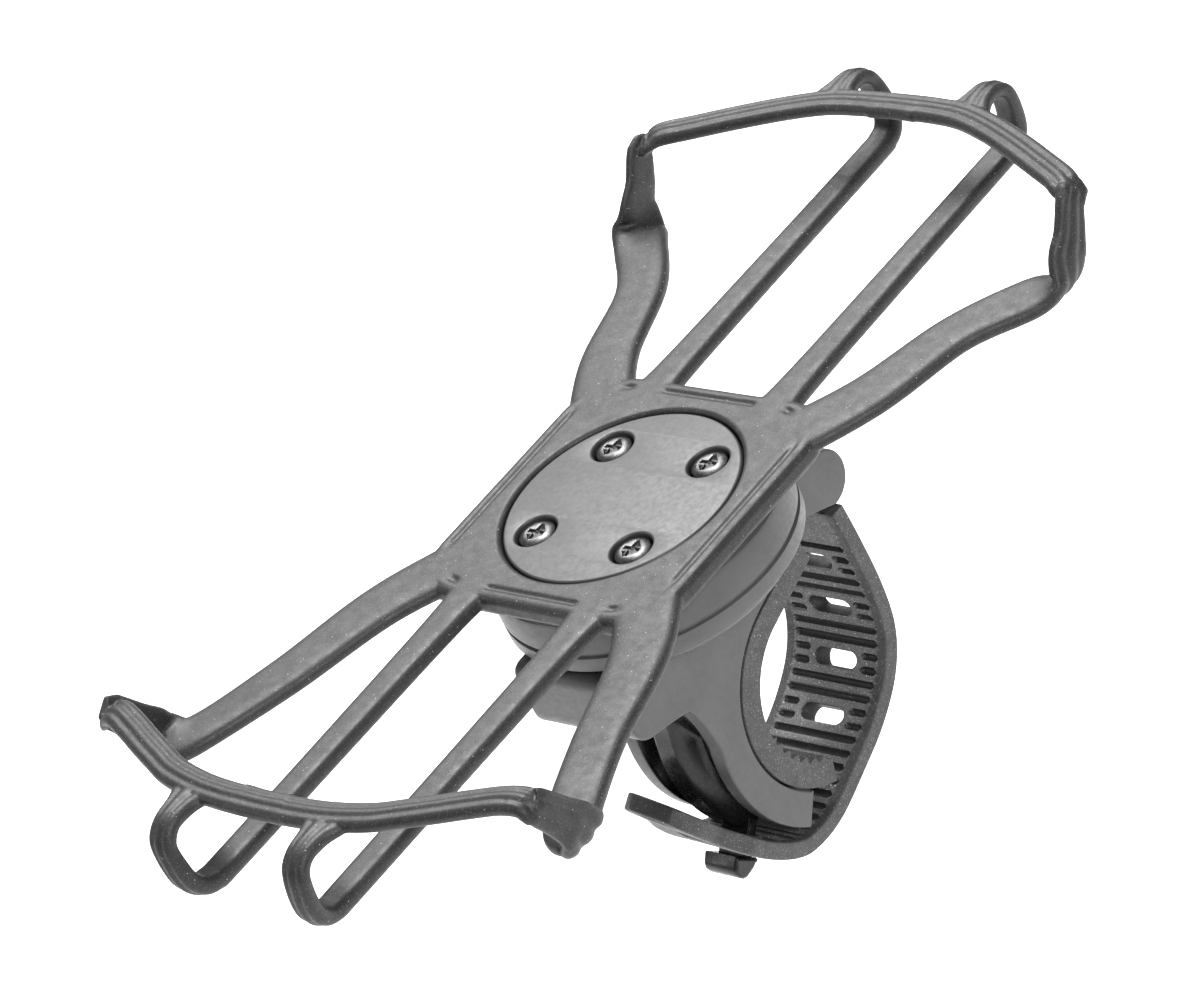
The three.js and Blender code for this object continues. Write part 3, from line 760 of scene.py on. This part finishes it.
# ------------------------------------------------------------------ the saddle
# Radii are about the handlebar's axis, and angles are degrees from +Y towards +Z.
SADDLE_INNER = 15.2
SHELL_RADIUS = 17.9
FLANGE_RADIUS = 19.95
SPINE_RADIUS = 21.3
SADDLE_END = 232  # its lower end
SADDLE_TOP = 107  # the upper end of its inner face
SADDLE_BACK = 168  # where its round back goes over into the wing
SPINE_END = 224
DECK = 24.3  # height of its upper face
WING_END = -30.2
WING_WAIST = (-21.2, 12.3)
WING_UNDER = (-28, 14.1)
SADDLE_EDGE = 0.28
EAR_RADIUS = 4.0
EAR_INNER = 5.2
EYE_ROOM = 0.5
FLANGE_INNER = 6.5
SPINE_HALF_WIDTH = 2.6
HOOK_ANGLE = 136  # the strap's direction at the hook
HOOK_HALF_WIDTH = 2.9
TURRET_TOP = 26.6
TURRET_RADIUS = 18.5


def outer_radius(x, angle):
    """Radius of the saddle's outer face, across its width and round its arc."""
    x = abs(x)
    flange = eased(x, FLANGE_INNER - 2.0, FLANGE_INNER) ** 1.5
    radius = SHELL_RADIUS + (FLANGE_RADIUS - SHELL_RADIUS) * flange
    spine = (1 - eased(x, SPINE_HALF_WIDTH - 1.1, SPINE_HALF_WIDTH + 0.7)) * (
        1 - eased(angle, SPINE_END - 1.5, SPINE_END + 1.5))
    return radius + (SPINE_RADIUS - SHELL_RADIUS) * spine


def curve_between(a, control, b, count):
    """Points on a quadratic curve from a to b."""
    t = np.linspace(0, 1, count)[:, None]
    a, control, b = (np.array(p, float) for p in (a, control, b))
    return (1 - t) ** 2 * a + 2 * t * (1 - t) * control + t**2 * b


def saddle_outline(x):
    """The saddle's side profile (y, z) at x, the same number of points at each x."""
    angles = np.linspace(SADDLE_END, SADDLE_BACK, 70)
    radii = outer_radius(x, angles)
    a = np.radians(angles)
    outer = np.column_stack([radii * np.cos(a), radii * np.sin(a)])
    runs = [outer, curve_between(outer[-1], (-19.6, 9.2), WING_WAIST, 12)[1:],
            curve_between(WING_WAIST, (-22, 12.7), WING_UNDER, 8)[1:],
            curve_between(WING_UNDER, (WING_END, 14.8), (WING_END, 17), 10)[1:],
            curve_between((WING_END, 22.4), (WING_END, DECK), (WING_END + 1.9, DECK), 10)]
    ear = arc((PIN_Y, PIN_Z), EAR_RADIUS, 90, -90, 24)
    if abs(x) < EAR_INNER:  # the gap between the ears, for the strap's eye
        wall = PIN_Y - EYE_RADIUS - EYE_ROOM
        ear = np.column_stack([np.full(24, wall), np.linspace(DECK + 0.2, PIN_Z - EAR_RADIUS, 24)])
    runs += [np.linspace((WING_END + 4, DECK), (8, DECK + 0.15), 8), ear, [(9, 18.65)],
             arc((0, 0), SADDLE_INNER, SADDLE_TOP, SADDLE_END, 60)]
    return np.vstack(runs)


def inset_ring(outline, x, distance):
    """The outline moved inwards, as a ring at x."""
    along = unit(np.roll(outline, -1, axis=0) - np.roll(outline, 1, axis=0))
    area = np.sum(outline[:, 0] * np.roll(outline[:, 1], -1)
                  - outline[:, 1] * np.roll(outline[:, 0], -1))
    inward = np.column_stack([-along[:, 1], along[:, 0]]) * np.sign(area)
    moved = outline + inward * distance
    return np.column_stack([np.full(len(moved), x), moved])


def across(outline_at, stations, half_width, edge):
    """A skin over side profiles, its two outer edges rounded by edge."""
    rounding = [(edge * (1 - math.cos(a)), edge * (1 - math.sin(a)))
                for a in np.radians([0, 22, 45, 67, 90])]
    xs = [(-half_width + inset, distance) for inset, distance in rounding]
    xs += [(x, 0) for x in stations]
    xs += [(-x, distance) for x, distance in reversed(xs[:len(rounding)])]
    return loft([inset_ring(outline_at(x), x, distance) for x, distance in xs])


def hook():
    """The hook that holds the strap: a stem through the slot and a head under it."""
    angle = math.radians(HOOK_ANGLE)
    along = np.array([math.cos(angle), math.sin(angle)])
    outward = np.array([-math.sin(angle), math.cos(angle)])

    def outline(points):
        """Side profile (y, z) of points along the strap and out of it."""
        return np.array([np.array(HOOK_POINT) + t * along + n * outward for t, n in points])

    stem = outline([(-0.9, -5), (0.7, -5), (0.7, 0.8), (-0.9, 0.8)])
    head = outline([(-1.3, 0.35), (-1.3, 1.0), (-1.0, 1.7), (0.0, 2.9), (0.6, 3.2), (1.3, 3.1),
                    (2.2, 2.7), (2.6, 2.1), (2.7, 1.5), (2.6, 0.35)])
    return joined([across(lambda x: stem, [0], HOOK_HALF_WIDTH - 0.6, 0.2),
                   across(lambda x: head, [0], HOOK_HALF_WIDTH, 0.5)])


def symmetric(values):
    return sorted({-v for v in values} | set(values))


# Close together where the outline changes: at the spine, the flanges and the ears' gap.
saddle_stations = symmetric([0, 0.6, 1.2, 1.5, 1.8, 2.1, 2.4, 2.7, 3.0, 3.3, 3.8, 4.4, 4.7, 5.0,
                             5.19, 5.21, 5.4, 5.6, 5.8, 6.0, 6.2, 6.35, 6.5, 7.0, 7.6])
saddle_shape = across(saddle_outline, saddle_stations, HALF_WIDTH, SADDLE_EDGE)
saddle = piece("saddle_moulding", saddle_shape, "bar_clamp", NYLON, sharp=40,
               replaces=["saddle"])


def paint_channel_shade(obj):
    """The face between the flanges is glossier, with painted shade: far darker than the rest."""
    obj.data.materials.append(NYLON_GLOSS_PAINTED_DARK)
    for face in obj.data.polygons:
        x, y, z = face.center / MM
        outside = math.hypot(y, z) > SADDLE_INNER + 1.5 and y < -8 and z < 14
        if outside and abs(x) < FLANGE_INNER:
            # painted shade on the channel
            face.material_index = 1


paint_channel_shade(saddle)
# the hook also gets the channel's painted-shade nylon
piece("saddle_hook", hook(), "bar_clamp", NYLON_GLOSS_PAINTED_DARK, sharp=50)

piece("saddle_turret", lathe([
    (0.5, 18.5), (11, 18.5), (11.6, 18.7), (17.9, 23.1), (18.35, 23.6), (TURRET_RADIUS, 24.1),
    (TURRET_RADIUS, TURRET_TOP - 0.4), (TURRET_RADIUS - 0.12, TURRET_TOP - 0.12),
    (TURRET_RADIUS - 0.4, TURRET_TOP), (0.5, TURRET_TOP)]),
    "bar_clamp", NYLON, sharp=30)


# ------------------------------------------------------------------- the liner
BAR_RADIUS = 11.5
LINER_RADIUS = 14.9
LINER_END = 249
TEETH_START, TEETH_END = 186, 240
TOOTH_DEPTH = 0.75
TOOTH_COUNT = 6


def polar(radius, angle):
    """One point (y, z) about the handlebar's axis, as a row."""
    return arc((0, 0), radius, angle, angle, 1)


def liner_outline(_x):
    """The liner's side profile (y, z), the same all across its width."""
    rise = math.tan(math.radians(SADDLE_TOP - 90))
    outer = arc((0, 0), LINER_RADIUS, LINER_END, SADDLE_TOP, 60)
    inner_top = polar(BAR_RADIUS, SADDLE_TOP)[0]
    tip = [(5.2, outer[-1][1] + (5.2 - outer[-1][0]) * rise),
           (5.9, outer[-1][1] + (5.7 - outer[-1][0]) * rise - 0.4),
           (6.3, inner_top[1] + (6.4 - inner_top[0]) * rise + 0.4),
           (6.2, inner_top[1] + (6.2 - inner_top[0]) * rise)]
    inner = [arc((0, 0), BAR_RADIUS, SADDLE_TOP, 185, 40)]
    pitch = (TEETH_END - TEETH_START) / TOOTH_COUNT
    for n in range(TOOTH_COUNT):
        start = TEETH_START + n * pitch
        for share, depth in ((0.1, 0.0), (0.4, 0.95), (0.5, 1.0), (0.9, 0.0)):
            radius = BAR_RADIUS - 0.6 + TOOTH_DEPTH * depth
            inner.append(polar(radius, start + share * pitch))
    end = [polar(r, a) for r, a in ((11.35, 242.5), (11.6, 246.3), (12.0, 247.5),
                                    (13.4, 248.4), (14.5, LINER_END))]
    return np.vstack([outer, tip, *inner, *end])


piece("liner_moulding", across(liner_outline, [-6, 0, 6], HALF_WIDTH, 0.12), "bar_clamp",
      RUBBER, sharp=30, replaces=["saddle_liner"])


# --------------------------------------------------------------- the turntable
TABLE_TOP = 33.1
TABLE_RADIUS = 20.3
SKIRT_BOTTOM = 25.2
SKIRT_INNER = TURRET_RADIUS + 0.4
piece("turntable_moulding", lathe([
    (0.5, TURRET_TOP + 0.3), (SKIRT_INNER - 0.3, TURRET_TOP + 0.3), (SKIRT_INNER, TURRET_TOP),
    (SKIRT_INNER, SKIRT_BOTTOM + 0.2), (SKIRT_INNER + 0.2, SKIRT_BOTTOM),
    (TABLE_RADIUS - 0.35, SKIRT_BOTTOM), (TABLE_RADIUS - 0.1, SKIRT_BOTTOM + 0.1),
    (TABLE_RADIUS, SKIRT_BOTTOM + 0.35), (TABLE_RADIUS, 27.4), (TABLE_RADIUS - 0.35, 27.6),
    (TABLE_RADIUS - 0.35, 28.0), (TABLE_RADIUS, 28.2), (TABLE_RADIUS, TABLE_TOP - 0.9),
    (TABLE_RADIUS - 0.12, TABLE_TOP - 0.45), (TABLE_RADIUS - 0.45, TABLE_TOP - 0.12),
    (TABLE_RADIUS - 0.9, TABLE_TOP), (0.5, TABLE_TOP)]),
    "cradle", NYLON, sharp=30, replaces=["turntable"])


# ------------------------------------------------------------ the clamp plate
def clamp_plate():
    """A disc with a countersunk hole for each screw."""
    low, high = (corner[2] for corner in node_box("clamp_plate"))
    radius = node_box("clamp_plate")[1][0]
    rim = arc((0, SWIVEL_Y), radius, 0, 360, 129)[:-1]
    holes = []
    for n in range(1, 5):
        a, b = node_box(f"clamp_screw_{n}")
        middle = (a + b) / 2
        holes.append(arc(middle[:2], (b - a)[0] / 2 + 0.35, 0, 360, 33)[:-1])
    return plate(rim, holes, low, high, 0.35)


piece("clamp_disc", clamp_plate(), "cradle", NYLON_PLATE, sharp=30,
      replaces=["clamp_plate"])


# ----------------------------------------------------- the CAD parts that stay
KEPT_EDGE = 0.12
KEPT_WELD = 1e-3


def finish_node(name, material):
    """A CAD node keeps its shape and gets a material and a softened edge."""
    obj = frame["nodes"][name]
    obj.data.materials.clear()
    obj.data.materials.append(material)
    weld = obj.modifiers.new("weld", "WELD")
    weld.merge_threshold = KEPT_WELD * MM
    bevel = obj.modifiers.new("bevel", "BEVEL")
    bevel.width = KEPT_EDGE * MM
    bevel.segments = 2
    bevel.limit_method = "ANGLE"
    bevel.angle_limit = math.radians(40)
    obj.data.shade_smooth()


KEPT = {
    "strap_pin": STEEL, "threaded_insert": BRASS, "slip_ring": ACETAL,
    "pivot_screw": STEEL, "pivot_washer": STEEL, "disc_spring": STEEL,
    "detent_ball_1": STEEL, "detent_ball_2": STEEL,
    "detent_spring_1": STEEL, "detent_spring_2": STEEL,
    **{f"clamp_screw_{n}": STEEL_DARK for n in range(1, 5)},
}
for node_name, node_material in KEPT.items():
    finish_node(node_name, node_material)


# ------------------------------------------------------- camera, floor, lights
CAMERA_PLACE = Vector((486.9, -364.7, 418.2)) * MM
CAMERA_BACK = Vector((0.685, -0.495, 0.534))
CAMERA_UP = Vector((-0.122, 0.644, 0.755))
CAMERA_LENS, CAMERA_SENSOR = 173.4, 36
FLOOR_DROP = 150.0  # from the CAD's lowest point
FLOOR_HALF = 6000.0
WORLD_STRENGTH = 0.4


def add_camera():
    """The photo's camera: where it is, which way is behind it, and which way is up."""
    back = CAMERA_BACK.normalized()
    right = CAMERA_UP.cross(back).normalized()
    turn = Matrix((right, back.cross(right), back)).transposed()
    data = bpy.data.cameras.new("camera")
    data.lens = CAMERA_LENS
    data.sensor_width = CAMERA_SENSOR
    data.clip_start, data.clip_end = 0.01, 50
    camera = bpy.data.objects.new("camera", data)
    camera.matrix_world = Matrix.Translation(CAMERA_PLACE) @ turn.to_4x4()
    bpy.context.scene.collection.objects.link(camera)
    bpy.context.scene.camera = camera


def add_floor():
    """White paper far below the object."""
    z = cad_box[0].z - FLOOR_DROP * MM
    half = FLOOR_HALF * MM
    mesh = bpy.data.meshes.new("floor")
    mesh.from_pydata([(-half, -half, z), (half, -half, z), (half, half, z), (-half, half, z)], [],
                     [(0, 1, 2, 3)])
    floor = bpy.data.objects.new("floor", mesh)
    bpy.context.scene.collection.objects.link(floor)
    surface = Surface("floor_paper", 0.9, specular=0.1)
    surface.mottle(grey(0.93), grey(0.95), 40)
    mesh.materials.append(surface.material)


def add_light(name, place, size, power):
    """A soft light that faces the object, its place in metres from the object's middle."""
    data = bpy.data.lights.new(name, "AREA")
    data.shape = "RECTANGLE"
    data.size, data.size_y = size
    data.energy = power
    light = bpy.data.objects.new(name, data)
    centre = (cad_box[0] + cad_box[1]) / 2
    light.location = centre + Vector(place)
    light.rotation_mode = "QUATERNION"
    light.rotation_quaternion = (-Vector(place)).to_track_quat("-Z", "Y")
    bpy.context.scene.collection.objects.link(light)


def add_world():
    world = bpy.data.worlds.new("studio")
    world.use_nodes = True
    background = world.node_tree.nodes["Background"]
    background.inputs["Color"].default_value = (1, 1, 1, 1)
    background.inputs["Strength"].default_value = WORLD_STRENGTH
    bpy.context.scene.world = world


add_camera()
add_floor()
add_light("key", (0.9, -0.4, 0.7), (0.35, 0.35), 12.5)
add_light("top", (-0.3, 0.5, 1.2), (0.4, 0.4), 26)
add_light("sheen", (-0.65, 0.6, 0.9), (0.7, 0.7), 17)
add_light("rim", (-0.7, -0.7, 0.4), (0.2, 0.6), 2)
add_world()
bpy.context.scene.view_settings.view_transform = "Standard"
